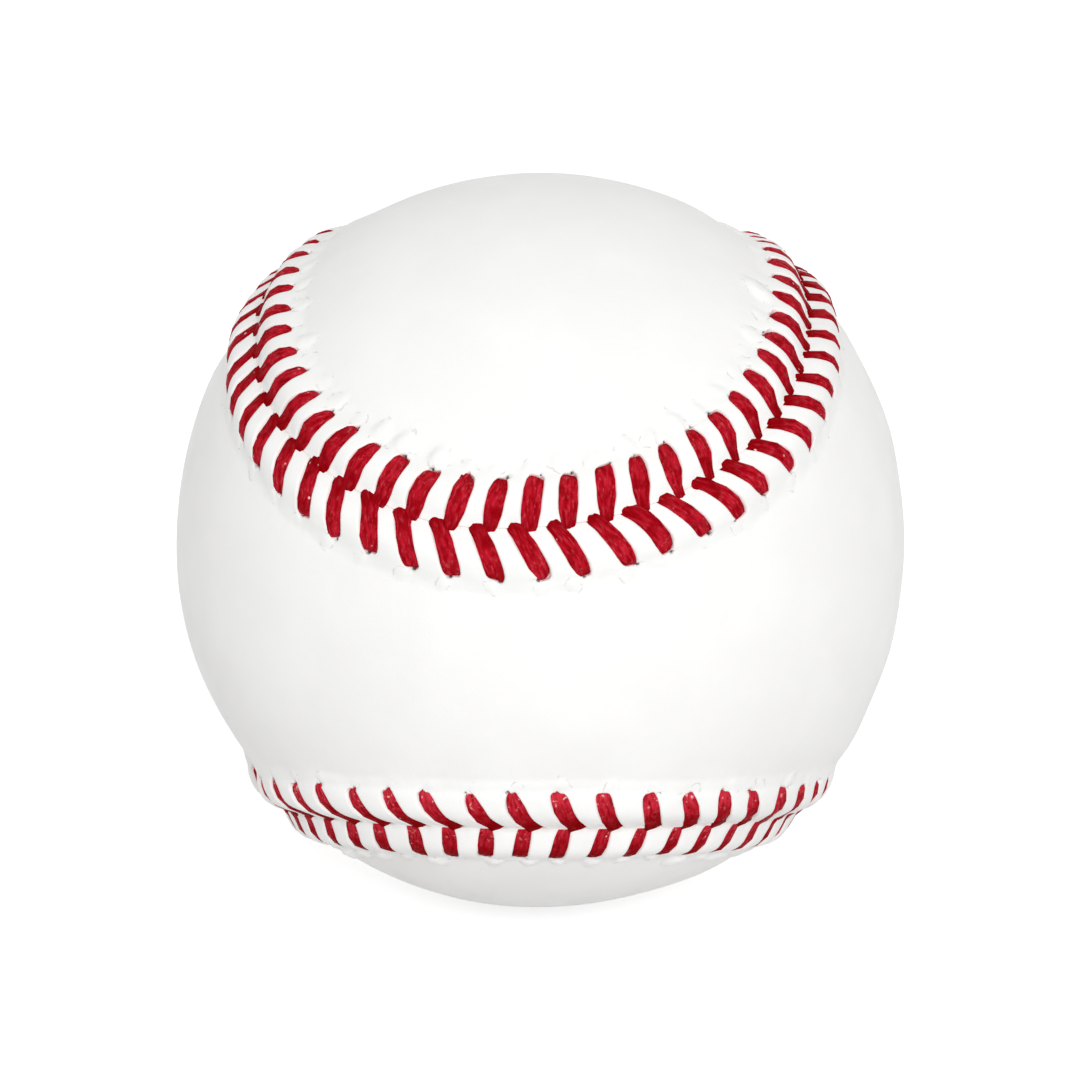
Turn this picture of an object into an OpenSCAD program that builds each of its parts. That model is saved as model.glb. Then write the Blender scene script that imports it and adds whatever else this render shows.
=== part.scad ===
// A baseball: a cushioned cork centre, four windings and an adhesive coat inside two
// leather panels, joined by one red thread in a raised seam of double stitches.
// +Z is up and the origin is the ball's centre. The front panel's waist faces -Y.

/* [Centre] */
// Diameter of the cork composition core
core_d = 20.6; // [16:0.1:25]
// Wall of the two black rubber inner cups
inner_cup_t = 3.2; // [2:0.1:5]
// Wall of the two red rubber outer cups
outer_cup_t = 3.15; // [2:0.05:5]
// Thickness of the gasket ring between two cups
gasket_t = 0.8; // [0.4:0.1:1.5]

/* [Windings] */
// Depth of the first winding, four-ply dark grey wool
first_wool_t = 14.6; // [10:0.1:18]
// Depth of the second winding, three-ply white wool
second_wool_t = 1.75; // [1:0.05:3]
// Depth of the third winding, three-ply grey wool
third_wool_t = 2.25; // [1:0.05:4]
// Depth of the finishing winding, fine white cotton
finishing_t = 0.45; // [0.2:0.05:1]
// Thickness of the adhesive coat
adhesive_t = 0.1; // [0.05:0.05:0.3]

/* [Leather panels] */
// Thickness of the leather
leather_t = 1.2; // [0.8:0.1:2]
// Width of a panel's waist, along the leather from seam line to seam line
waist_w = 32; // [26:0.5:39]
// Gap between the edges of the two panels
seam_gap = 0.3; // [0.2:0.05:0.6]
// Height of the leather at the seam line above the rest of the panel
valley_rise = 0.6; // [0.2:0.1:1]
// Height of the ridge on each side of the seam line above the rest of the panel
ridge_rise = 1.15; // [0.8:0.05:2]
// Distance of a ridge's crest from the seam line
ridge_crest = 3; // [2:0.1:3.6]
// Distance of a ridge's outer foot from the seam line
ridge_foot = 7.1; // [5.8:0.1:9]

/* [Stitches] */
// Number of double stitches round the seam
stitch_count = 108; // [88:2:120]
// Distance of the needle holes from the seam line
hole_inset = 4.7; // [3.8:0.1:5.6]
// Distance along the seam from a double stitch's middle to its needle holes
hole_lead = 1.5; // [0.5:0.1:2.5]
// Distance along the seam between the two legs of a double stitch where they meet
twin_spacing = 1.3; // [1:0.1:1.6]
// Width of a stitch leg
thread_w = 1.8; // [1.2:0.1:2.2]
// Thickness of a stitch leg
thread_t = 0.8; // [0.5:0.05:1]
// Depth of the groove that a stitch leg pulls into the leather
groove_depth = 0.75; // [0.5:0.05:0.9]
// Clearance between a stitch leg and the leather under it
thread_clear = 0.1; // [0.05:0.05:0.2]

/* [Hidden] */
$fn = 240;

// Outer radius of each layer, which the next one seats on
core_r = core_d / 2;
inner_cup_r = core_r + inner_cup_t;
pill_r = inner_cup_r + outer_cup_t;
first_wool_r = pill_r + first_wool_t;
second_wool_r = first_wool_r + second_wool_t;
third_wool_r = second_wool_r + third_wool_t;
finishing_r = third_wool_r + finishing_t;
adhesive_r = finishing_r + adhesive_t;
leather_r = adhesive_r + leather_t;

// The seam is a closed curve with two waists and four lobes, pushed out to the sphere.
// lobe_share sets how far the lobes swell, and seam_reach follows from the waist.
lobe_share = 0.476;
seam_reach = (1 - lobe_share) / tan(arc_angle(waist_w / 2));
// Steps of the table that turns a length along the seam into an angle of the curve, and
// the angle at the front waist's middle, where the table starts
seam_steps = 720;
seam_start = 90;
seam_table = [for (i = 0, s = 0; i <= seam_steps; s = s + seam_step(i), i = i + 1)
    [s, seam_start + i * 360 / seam_steps]];
seam_length = seam_table[seam_steps][0];

// Double stitches, the first one a small share of the pitch before the front waist's middle
pitch = seam_length / stitch_count;
phase_share = -0.04;

// Rows of points on a panel, by their distance from the seam line. The leather sinks
// under each leg by a share of the groove's depth, most of all at the needle hole.
edge_inset = seam_gap / 2;
rows = [edge_inset, ridge_crest / 2, ridge_crest, (ridge_crest + hole_inset) / 2, hole_inset,
    (hole_inset + ridge_foot) / 2];
groove_shares = [0.6, 0.9, 1, 1, 1.6, 0.3];
// Points per double stitch along the seam, one in the groove and one on the pillow
per_stitch = 2;
columns = per_stitch * stitch_count;
// Steps across a panel, from one foot of its ridge to the other
span_steps = 12;

// Width and thickness of a leg at each row, as shares of the thread's
leg_w_shares = [0.7, 1, 1, 0.75];
leg_t_shares = [0.7, 1, 1, 0.8];
// Height of a leg's widest points above its underside, as a share of its thickness
leg_side_share = 0.5;

function arc_angle(length) = length / leather_r * 180 / PI;

function seam_point(u) = [lobe_share * cos(3 * u) - cos(u), seam_reach * cos(2 * u),
    sin(u) + lobe_share * sin(3 * u)];

function seam_slope(u) = [sin(u) - 3 * lobe_share * sin(3 * u), -2 * seam_reach * sin(2 * u),
    cos(u) + 3 * lobe_share * cos(3 * u)];

function unit(v) = v / norm(v);

function seam_step(i) = leather_r * norm(unit(seam_point(seam_start + (i + 1) * 360 / seam_steps))
    - unit(seam_point(seam_start + i * 360 / seam_steps)));

// The seam's curve angle at a length along it from the front waist's middle
function seam_angle(s) = lookup(s - seam_length * floor(s / seam_length), seam_table);

// Direction of a point that lies a length s along the seam and a distance t off it,
// towards the back panel where t is positive
function seam_dir(s, t) =
    let (u = seam_angle(s), p = unit(seam_point(u)), v = seam_slope(u), along = unit(v - (v * p) * p))
    p * cos(arc_angle(t)) + cross(p, along) * sin(arc_angle(t));

function ball_point(s, t, rise) = (leather_r + rise) * seam_dir(s, t);

// Height of the ridge over the panel at a distance from the seam line
function ridge_height(inset) = inset < ridge_crest
    ? valley_rise + (ridge_rise - valley_rise) * (1 - cos(180 * inset / ridge_crest)) / 2
    : ridge_rise * (1 + cos(180 * (inset - ridge_crest) / (ridge_foot - ridge_crest))) / 2;

// How far along the seam a leg has moved from its stitch's middle at a distance from the
// seam line. side is 1 on the back panel and -1 on the front panel.
function leg_shift(side, inset) = let (start = side * twin_spacing / 2,
    share = min(1, (inset - edge_inset) / (hole_inset - edge_inset)))
    start + (hole_lead - start) * share;

function leg_place(side, stitch, inset) = (stitch + phase_share) * pitch + leg_shift(side, inset);

// Height of the leather in the groove under a leg, at one of the rows
function groove_height(row) = ridge_height(rows[row]) - groove_depth * groove_shares[row];

// A ball's hollow layer between two radii
module shell(outer_r, inner_r) {
    difference() {
        sphere(r = outer_r);
        sphere(r = inner_r);
    }
}

// Half of a hollow layer, above the gasket ring
module cup(outer_r, inner_r) {
    difference() {
        shell(outer_r, inner_r);
        translate([0, 0, gasket_t / 2 - outer_r])
            cube(2 * outer_r, center = true);
    }
}

// The ring that seals the joint of two cups
module gasket(outer_r, inner_r) {
    intersection() {
        shell(outer_r, inner_r);
        cube([2 * outer_r, 2 * outer_r, gasket_t], center = true);
    }
}

// A figure-of-eight leather panel. side is 1 for the back panel and -1 for the front one.
// The ridge along its edge is a strip of rows, and the rest is spanned from foot to foot.
module panel(side) {
    tip = round((side > 0 ? 0 : stitch_count / 4) - phase_share - hole_lead / pitch);
    half = floor(stitch_count / 2);
    strip = [for (row = [0:len(rows) - 1]) for (k = [0:columns - 1])
        let (frac = (k % per_stitch) / per_stitch, aside = 2 * min(frac, 1 - frac))
        ball_point(leg_place(side, floor(k / per_stitch), rows[row]) + frac * pitch,
            side * rows[row],
            groove_height(row) * (1 - aside) + ridge_height(rows[row]) * aside)];
    foot = [for (k = [0:stitch_count - 1])
        ball_point(leg_place(side, k, ridge_foot), side * ridge_foot, 0)];
    inside = [for (j = [1:half - 1]) for (i = [1:span_steps - 1])
        leather_r * across(foot[wrap(tip + j)], foot[wrap(tip - j)], i / span_steps)];
    foot_at = 1 + len(strip);
    inside_at = foot_at + len(foot);

    function wrap(k) = (k % stitch_count + stitch_count) % stitch_count;
    function strip_at(row, k) = 1 + row * columns + k % columns;
    function span_at(j, i) =
        i == 0 || j == 0 || (j == half && i < span_steps / 2) ? foot_at + wrap(tip + j)
        : i == span_steps || j == half ? foot_at + wrap(tip - j)
        : inside_at + (j - 1) * (span_steps - 1) + i - 1;

    faces = concat(
        [for (k = [0:columns - 1]) [0, strip_at(0, k), strip_at(0, k + 1)]],
        [for (row = [0:len(rows) - 2]) for (k = [0:columns - 1])
            each quad(strip_at(row, k), strip_at(row + 1, k), strip_at(row + 1, k + 1),
                strip_at(row, k + 1))],
        [for (k = [0:stitch_count - 1]) for (i = [0:per_stitch - 1])
            let (p = strip_at(len(rows) - 1, per_stitch * k + i),
                q = strip_at(len(rows) - 1, per_stitch * k + i + 1))
            each concat([[p, foot_at + wrap(k + (2 * i < per_stitch ? 0 : 1)), q]],
                2 * (i + 1) == per_stitch ? [[q, foot_at + k, foot_at + wrap(k + 1)]] : [])],
        [for (j = [0:half - 1]) for (i = [0:span_steps - 1])
            each quad(span_at(j, i), span_at(j, i + 1), span_at(j + 1, i + 1), span_at(j + 1, i))]);
    whole = [for (f = faces) if (f[0] != f[1] && f[1] != f[2] && f[2] != f[0]) f];
    difference() {
        polyhedron(concat([[0, 0, 0]], strip, foot, inside),
            side > 0 ? whole : [for (f = whole) [f[2], f[1], f[0]]]);
        sphere(r = adhesive_r);
    }
}

function quad(a, b, c, d) = [[a, b, c], [a, c, d]];

// Direction part of the way along the great circle from one point to another
function across(from, to, share) = let (a = unit(from), b = unit(to), turn = acos(min(1, a * b)))
    turn == 0 ? a : unit(a * sin(turn * (1 - share)) + b * sin(turn * share));

// Points of one stitch leg: four points at each row from the seam line, then its tip,
// which goes down into the needle hole
function leg_points(side, stitch) = concat(
    [for (row = [0:len(leg_w_shares) - 1])
        let (s = leg_place(side, stitch, rows[row]), t = side * rows[row],
            low = groove_height(row) + thread_clear, thick = thread_t * leg_t_shares[row],
            aside = thread_w * leg_w_shares[row] / 2)
        each [ball_point(s, t, low), ball_point(s + aside, t, low + leg_side_share * thick),
            ball_point(s, t, low + thick), ball_point(s - aside, t, low + leg_side_share * thick)]],
    [ball_point(leg_place(side, stitch, hole_inset), side * hole_inset,
        groove_height(len(leg_w_shares)) + 2 * thread_clear)]);

// Faces of one stitch leg whose points start at a place in the list
function leg_faces(start) = let (n = 4, last = len(leg_w_shares) - 1, tip = start + n * (last + 1))
    concat(quad(start, start + 1, start + 2, start + 3),
        [for (row = [0:last - 1]) for (i = [0:n - 1])
            let (a = start + n * row + i, b = start + n * row + (i + 1) % n)
            each quad(a, a + n, b + n, b)],
        [for (i = [0:n - 1]) [start + n * last + i, tip, start + n * last + (i + 1) % n]]);

// Half of the thread: its legs lie on one panel at every other double stitch, and on the
// other panel between them
module thread_half(first_side) {
    size = 4 * len(leg_w_shares) + 1;
    sides = [for (k = [0:stitch_count - 1]) k % 2 == 0 ? first_side : -first_side];
    polyhedron([for (k = [0:stitch_count - 1]) each leg_points(sides[k], k)],
        [for (k = [0:stitch_count - 1]) for (f = leg_faces(k * size))
            sides[k] < 0 ? f : [f[2], f[1], f[0]]]);
}

module cork_core() {
    color("peru") sphere(r = core_r);
}

module inner_cup_upper() {
    color("#26262a") cup(inner_cup_r, core_r);
}

module inner_cup_lower() {
    color("#26262a") mirror([0, 0, 1]) cup(inner_cup_r, core_r);
}

module inner_gasket() {
    color("#a03030") gasket(inner_cup_r, core_r);
}

module outer_cup_front() {
    color("#b03a34") rotate([90, 0, 0]) cup(pill_r, inner_cup_r);
}

module outer_cup_back() {
    color("#b03a34") rotate([-90, 0, 0]) cup(pill_r, inner_cup_r);
}

module outer_gasket() {
    color("#8c2a28") rotate([90, 0, 0]) gasket(pill_r, inner_cup_r);
}

module first_wool_winding() {
    color("#77736c") shell(first_wool_r, pill_r);
}

module second_wool_winding() {
    color("#e6e0d2") shell(second_wool_r, first_wool_r);
}

module third_wool_winding() {
    color("#9a958c") shell(third_wool_r, second_wool_r);
}

module finishing_winding() {
    color("#f0ece0") shell(finishing_r, third_wool_r);
}

module adhesive_coat() {
    color("#d8c9a0") shell(adhesive_r, finishing_r);
}

module cover_front_panel() {
    color("#f6f4ef") panel(-1);
}

module cover_back_panel() {
    color("#f6f4ef") panel(1);
}

module thread_first_needle() {
    color("#a81d29") thread_half(1);
}

module thread_second_needle() {
    color("#a81d29") thread_half(-1);
}

cork_core();
inner_cup_upper();
inner_cup_lower();
inner_gasket();
outer_cup_front();
outer_cup_back();
outer_gasket();
first_wool_winding();
second_wool_winding();
third_wool_winding();
finishing_winding();
adhesive_coat();
cover_front_panel();
cover_back_panel();
thread_first_needle();
thread_second_needle();
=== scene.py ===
# A white leather baseball with a raised red seam, photographed on a white table.
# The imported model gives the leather's radius and the layers inside. The leather panels and the
# thread are modelled here on the same seam curve, with the relief that the stitches pull into
# the leather. Lengths are written in millimetres and turned into metres as each mesh is made.
import math

import bpy
import numpy as np
from mathutils import Matrix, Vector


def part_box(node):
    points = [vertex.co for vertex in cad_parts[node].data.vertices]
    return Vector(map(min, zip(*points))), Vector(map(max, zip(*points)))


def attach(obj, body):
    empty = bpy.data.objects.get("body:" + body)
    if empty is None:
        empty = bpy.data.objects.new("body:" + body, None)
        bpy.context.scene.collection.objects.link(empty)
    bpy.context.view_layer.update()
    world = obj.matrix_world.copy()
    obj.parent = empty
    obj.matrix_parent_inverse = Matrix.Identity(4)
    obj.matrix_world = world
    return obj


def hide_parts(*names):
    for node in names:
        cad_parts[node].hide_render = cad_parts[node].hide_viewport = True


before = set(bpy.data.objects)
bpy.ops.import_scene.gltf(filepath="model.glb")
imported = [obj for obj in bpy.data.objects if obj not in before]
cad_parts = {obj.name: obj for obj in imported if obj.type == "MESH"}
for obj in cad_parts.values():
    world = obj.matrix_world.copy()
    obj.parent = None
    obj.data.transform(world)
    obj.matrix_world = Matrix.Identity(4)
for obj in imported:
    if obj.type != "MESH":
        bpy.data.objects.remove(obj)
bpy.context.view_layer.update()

MM = 0.001

# The ball and its seam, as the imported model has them
LEATHER_R = -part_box("cover_front_panel")[0].y / MM
ADHESIVE_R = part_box("adhesive_coat")[1].z / MM
WAIST_W = 32.0
LOBE_SHARE = 0.476
STITCHES = 108
PHASE_SHARE = -0.04
HOLE_INSET = 4.7
HOLE_LEAD = 1.5
TWIN_SPACING = 1.3

# The thread and the seam's double ridge, a little nearer to the photograph than packed
THREAD_W = 1.84
THREAD_T = 0.74
VALLEY_RISE = 0.48
RIDGE_RISE = 1.22
RIDGE_CREST = 2.6
RIDGE_FOOT = 6.5
STRIP_END = 8.4

# Camera, fitted to the seam and the outline in the photograph
CAMERA_AZIMUTH = 3.16
CAMERA_ELEVATION = 23.03
CAMERA_ROLL = -1.103
CAMERA_DISTANCE = 501.1
CAMERA_LENS = 165.29
SENSOR_WIDTH = 36.0


def smooth(value, low, high):
    """0 below low, 1 above high, and a smooth step between them."""
    share = np.clip((value - low) / (high - low), 0.0, 1.0)
    return share * share * (3.0 - 2.0 * share)


def unit(vectors):
    return vectors / np.linalg.norm(vectors, axis=-1, keepdims=True)


def shorter_way(distance, whole):
    """A distance round a closed line of some whole length, taken the shorter way."""
    return (distance + whole / 2) % whole - whole / 2


# The seam curve


SEAM_REACH = (1.0 - LOBE_SHARE) / math.tan(WAIST_W / 2.0 / LEATHER_R)
SEAM_SAMPLES = 8641
SEAM_TURNS = np.linspace(0.5 * math.pi, 2.5 * math.pi, SEAM_SAMPLES)
# A short step along the seam or a leg, to find its direction
SHORT_STEP = 0.05


def seam_point(turn):
    return unit(np.stack([
        LOBE_SHARE * np.cos(3 * turn) - np.cos(turn),
        SEAM_REACH * np.cos(2 * turn),
        np.sin(turn) + LOBE_SHARE * np.sin(3 * turn),
    ], axis=-1))


def seam_slope(turn):
    return np.stack([
        np.sin(turn) - 3 * LOBE_SHARE * np.sin(3 * turn),
        -2 * SEAM_REACH * np.sin(2 * turn),
        np.cos(turn) + 3 * LOBE_SHARE * np.cos(3 * turn),
    ], axis=-1)


SEAM_LENGTHS = LEATHER_R * np.concatenate([
    [0.0],
    np.cumsum(np.linalg.norm(np.diff(seam_point(SEAM_TURNS), axis=0), axis=1)),
])
SEAM_LENGTH = SEAM_LENGTHS[-1]
PITCH = SEAM_LENGTH / STITCHES


def slow_waves(along, level, waves):
    """A smooth change round the seam: for each wave, its count and its sine and cosine parts."""
    turn = 2 * math.pi * along / SEAM_LENGTH
    total = level + 0 * turn
    for count, sine, cosine in waves:
        total = total + sine * np.sin(count * turn) + cosine * np.cos(count * turn)
    return total


# How the sewn seam wanders: mean, slow waves, and short bends (place, length and distance)
SEAM_ASIDE = -0.05
SEAM_WAVES = [(1, 0.0, -0.07), (2, -0.01, 0.09), (3, 0.14, 0.09)]
SEAM_BENDS = [
    (393.5, 6.0, -0.36), (68.0, 15.0, -1.45), (342.0, 15.0, -0.45), (167.0, 14.0, 0.45),
    (239.5, 8.0, 0.6),
]


def seam_wander(along):
    """How far the sewn seam lies off its true curve, towards the back panel."""
    off = slow_waves(along, SEAM_ASIDE, SEAM_WAVES)
    for place, length, bend in SEAM_BENDS:
        off = off + bend * np.exp(-(shorter_way(along - place, SEAM_LENGTH) / length) ** 2)
    return off


def ball_direction(along, off):
    """The direction of a point so far along the seam and so far off it, towards the back."""
    off = off + seam_wander(along)
    turn = np.interp(along % SEAM_LENGTH, SEAM_LENGTHS, SEAM_TURNS)
    point = seam_point(turn)
    slope = seam_slope(turn)
    ahead = unit(slope - np.sum(slope * point, axis=-1, keepdims=True) * point)
    aside = np.cross(point, ahead)
    angle = (off / LEATHER_R)[..., None]
    return point * np.cos(angle) + aside * np.sin(angle)


def seam_stretch(along, off):
    """How long a millimetre of the seam is, measured so far off it."""
    ahead = ball_direction(along + SHORT_STEP, off) - ball_direction(along - SHORT_STEP, off)
    return LEATHER_R * np.linalg.norm(ahead, axis=-1) / (2 * SHORT_STEP)


# The sewing: where each leg of each double stitch lies, with the small errors of hand work


HAND = np.random.default_rng(108)
SIDES = {"front": -1, "back": 1}


def hand_error(size):
    """One small error for each double stitch and panel."""
    return {name: HAND.normal(0.0, size, STITCHES) for name in SIDES}


def hand_range(low, high):
    """One number between two limits for each double stitch and panel."""
    return {name: HAND.uniform(low, high, STITCHES) for name in SIDES}


HOLE_SLIP = hand_error(0.12)
START_SLIP = hand_error(0.06)
HOLE_DEPTH_SLIP = hand_error(0.13)
LEG_BOW = hand_error(0.1)
WIDTH_SLIP = hand_error(0.04)
END_SKEW = hand_error(0.2)
PUFF_SLIP = hand_error(0.25)
PILLOW_SLIP = hand_error(0.3)
BUMP_SLIP = hand_error(0.15)
BUMP_PLACE = hand_error(0.2)
BUMP_LEAN = hand_error(0.3)
HOLE_CORNER = hand_error(0.4)
HOLE_SIZE = hand_range(0.0, 1.0)
END_TAPER = hand_range(0.0, 0.34)
START_TAPER = hand_range(0.0, 0.2)
DIMPLE_DEPTH = hand_range(0.0, 0.16)
DIMPLE_PLACE = hand_range(0.3, 0.7)

DRIFT_MEAN = -0.88
DRIFT_WAVES = [(1, -1.13, 0.57), (2, -0.02, 0.96), (3, -0.06, -0.16), (4, 0.16, -0.09)]
# Where a leg's seam end and its hole end begin and stop, by distance from the seam line
SEAM_END = (-0.3, 1.1)
HOLE_END = (3.4, 4.8)


def stitch_drift(along):
    """The slow drift of the stitches as the hand works round the seam."""
    return slow_waves(along, DRIFT_MEAN, DRIFT_WAVES)


def leg_along(panel, stitch, inset):
    """Place along the seam of a leg's middle line, at a distance from the seam line."""
    middle = (stitch + PHASE_SHARE) * PITCH
    number = stitch % STITCHES
    start = SIDES[panel] * TWIN_SPACING / 2 + START_SLIP[panel][number]
    end = HOLE_LEAD + HOLE_SLIP[panel][number]
    share = np.clip(inset / HOLE_INSET, -0.1, 1.0)
    bow = (BOW[panel] + LEG_BOW[panel][number]) * 4 * share * (1 - share)
    hook = HOOK[panel] * DRAWN[number] * (1 - smooth(inset, *SEAM_END))
    return middle + stitch_drift(middle) + start + (end - start) * share + bow + hook


def humps(places):
    """For each double stitch, the sum of smooth humps: each has a stitch, spread and height."""
    total = np.zeros(STITCHES)
    for stitch, spread, height in places:
        apart = shorter_way(np.arange(STITCHES) - stitch, STITCHES)
        total += height * np.exp(-(apart / spread) ** 2)
    return total


MIDDLES = (np.arange(STITCHES) + PHASE_SHARE) * PITCH
PLACES = ball_direction(MIDDLES + stitch_drift(MIDDLES), 0 * MIDDLES)
# For each double stitch, 1 where the thread is pulled tight, along the lower seam
TIGHT = smooth(-PLACES[:, 2], 0.1, 0.36) * smooth(-PLACES[:, 1], 0.3, 0.7)
# 1 on the half of the seam where the hand draws the thread aside as it crosses the seam
DRAWN = smooth(np.sin(2 * math.pi * np.arange(STITCHES) / STITCHES), -0.2, 0.35) * (1 - TIGHT)
# 1 at the ball's left and right: the thread is slim at the seam with deeper painted shade, and the
# bumps are low
OUTER = smooth(np.abs(PLACES[:, 0]), 0.3, 0.7) * (1 - TIGHT)
# 1 at the ball's left, where the back panel's legs end in a point
POINTED = {"front": np.zeros(STITCHES), "back": smooth(-PLACES[:, 0], 0.3, 0.6) * (1 - TIGHT)}
# How far the thread stands proud of its groove high on the ball, in mm
PROUD = 0.15 * smooth(PLACES[:, 2], 0.5, 0.72)
# How much fuller a leg is, as a share of its width
FULLNESS = {
    "front": humps([(12.0, 4.0, -0.2), (100.0, 5.0, 0.02)]),
    "back": humps([(12.5, 4.0, 0.2), (100.0, 5.0, 0.04)]),
}
POINTED_FULLNESS = 0.07
BELLY = 0.05
# How much slimmer a leg is, anywhere and where the thread is pulled tight
SLIM = {"front": 0.04, "back": 0.0}
TIGHT_SLIM = {"front": 0.05, "back": 0.17}
# How much a leg bends and is drawn along the seam, in mm
BOW = {"front": 0.3, "back": -0.1}
HOOK = {"front": -0.28, "back": 0.0}
# How much thinner it is at the seam, and there where it is drawn aside or at the ball's sides
PINCH = {"front": 0.0, "back": 0.14}
DRAWN_PINCH = {"front": 0.0, "back": 0.22}
OUTER_PINCH = {"front": 0.2, "back": 0.0}
# How much thinner a pointed leg is at its needle hole and how early that begins, and how much
# thinner any leg is as it goes in
POINT_TAPER = 0.36
POINT_LENGTH = 1.0
ENTRY_TAPER = 0.24


def leg_half_width(panel, stitch, inset):
    """Half of the width that a leg shows, at a distance from the seam line."""
    number = stitch % STITCHES
    slim = SLIM[panel] + TIGHT_SLIM[panel] * TIGHT[number]
    pointed = POINTED[panel][number]
    slip = WIDTH_SLIP[panel][number] + FULLNESS[panel][number] + POINTED_FULLNESS * pointed
    belly = BELLY * np.sin(math.pi * np.clip(inset / HOLE_INSET, 0, 1))
    width = THREAD_W / 2 * (1 + slip + belly) * (1 - slim)
    taper = END_TAPER[panel][number] * (1 - pointed) + POINT_TAPER * pointed
    near_hole = taper * smooth(inset, HOLE_END[0] - POINT_LENGTH * pointed, HOLE_END[1])
    near_hole = near_hole + ENTRY_TAPER * smooth(inset, 4.3, 5.0)
    pinch = PINCH[panel] + START_TAPER[panel][number]
    pinch = pinch + DRAWN_PINCH[panel] * DRAWN[number] + OUTER_PINCH[panel] * OUTER[number]
    near_seam = pinch * (1 - smooth(inset, -0.3, 1.3 + 0.9 * DRAWN[number]))
    return width * (1 - near_hole - near_seam)


def ridge_height(inset):
    """Height of the ridge over the panel at a distance from the seam line."""
    inner = VALLEY_RISE + (RIDGE_RISE - VALLEY_RISE) * smooth(inset, 0.0, RIDGE_CREST)
    outer = RIDGE_RISE * (1 - smooth(inset, RIDGE_CREST, RIDGE_FOOT))
    return np.where(inset < RIDGE_CREST, inner, outer)


# Where the ball's outline is fuller or flatter: degrees from the right, spread, and height
UNEVEN_PLACES = [
    (36.0, 5.0, 0.25), (57.0, 5.5, -0.5), (121.0, 3.0, 0.3), (131.0, 3.0, -0.25),
    (144.5, 5.0, -0.5), (144.0, 2.5, -0.28), (176.0, 12.0, -0.16), (211.0, 8.0, -0.38),
    (219.0, 4.5, -0.55), (221.0, 4.0, -0.32), (231.5, 2.4, -0.28), (298.0, 9.0, 0.36),
    (315.0, 3.0, 0.3), (326.0, 6.0, 0.45),
]
# How far the outline lies towards the camera, as a share of the ball's radius
OUTLINE_LEAN = 0.07


def unevenness(directions):
    """Height of the ball over its round shape, in the direction of each point."""
    across, up, back = turned_to(CAMERA_AZIMUTH, CAMERA_ELEVATION, CAMERA_ROLL)
    total = 0.0
    for angle, spread, height in UNEVEN_PLACES:
        turn = math.radians(angle)
        middle = unit(across * math.cos(turn) + up * math.sin(turn) + OUTLINE_LEAN * back)
        apart = np.degrees(np.arccos(np.clip(directions @ middle, -1, 1)))
        total = total + height * np.exp(-(apart / spread) ** 2)
    return total


RIPPLE_WAVES = 14


def ripple(points, wave, seed):
    """A smooth random field over the ball, about -1 to 1, with waves of one rough length."""
    draw = np.random.default_rng(seed)
    total = np.zeros(points.shape[:-1])
    for _ in range(RIPPLE_WAVES):
        axis = unit(draw.normal(size=3))
        length = wave * draw.uniform(0.7, 1.5)
        total += np.sin(points @ axis * 2 * math.pi / length + draw.uniform(0, 2 * math.pi))
    return total / math.sqrt(RIPPLE_WAVES)


# Mesh making


def make_object(name, points, faces, attributes):
    """An object at the origin from points in millimetres, with its named vertex attributes."""
    mesh = bpy.data.meshes.new(name)
    mesh.from_pydata((points * MM).tolist(), [], faces)
    for label, values in attributes:
        layer = mesh.attributes.new(label, "FLOAT", "POINT")
        layer.data.foreach_set("value", values.astype(np.float32))
    mesh.shade_smooth()
    piece = bpy.data.objects.new(name, mesh)
    bpy.context.scene.collection.objects.link(piece)
    return piece


def ring_quads(first, second, turned):
    """Faces between two closed rings with as many points each."""
    ahead = np.roll(first, -1), np.roll(second, -1)
    quads = np.stack([first, ahead[0], ahead[1], second], axis=1)
    return (quads[:, ::-1] if turned else quads).tolist()


def ring_fan(fine, coarse, turned):
    """Faces from a closed ring to one with a whole number of times fewer points."""
    ratio = len(fine) // len(coarse)
    faces = []
    for place, near in enumerate(coarse):
        far = coarse[(place + 1) % len(coarse)]
        run = [fine[(place * ratio + step) % len(fine)] for step in range(ratio + 1)]
        middle = ratio // 2
        faces += [[run[step], run[step + 1], near] for step in range(middle)]
        faces.append([run[middle], far, near])
        faces += [[run[step], run[step + 1], far] for step in range(middle, ratio)]
    return [face[::-1] for face in faces] if turned else faces


def span_lens(ring, tip, start, steps, turned):
    """Faces and arcs that span a closed ring of points, from one side of its tip to the other.
    Each arc is (from, to), and its inner points are numbered from start on."""
    count = len(ring)
    half = count // 2
    arcs = [(ring[(tip + row) % count], ring[(tip - row) % count]) for row in range(half + 1)]
    rows = []
    for row, (near, far) in enumerate(arcs):
        if row in (0, half):
            rows.append([near] * (steps + 1))
        else:
            first = start + (row - 1) * (steps - 1)
            rows.append([near] + list(range(first, first + steps - 1)) + [far])
    faces = []
    for here, ahead in zip(rows, rows[1:]):
        for step in range(steps):
            loop = [here[step], here[step + 1], ahead[step + 1], ahead[step]]
            face = [corner for place, corner in enumerate(loop) if corner not in loop[:place]]
            if len(face) > 2:
                faces.append(face if turned else face[::-1])
    return faces, arcs[1:half]


def great_arcs(points, arcs, radius, steps):
    """Points along the great circles between pairs of points, on a sphere."""
    near = unit(points[[arc[0] for arc in arcs]])
    far = unit(points[[arc[1] for arc in arcs]])
    angle = np.arccos(np.clip(np.sum(near * far, axis=1), -1, 1))[:, None, None]
    share = (np.arange(1, steps) / steps)[None, :, None]
    return radius * unit(
        near[:, None] * np.sin(angle * (1 - share)) + far[:, None] * np.sin(angle * share)
    ).reshape(-1, 3)


# Leather panels


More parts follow.
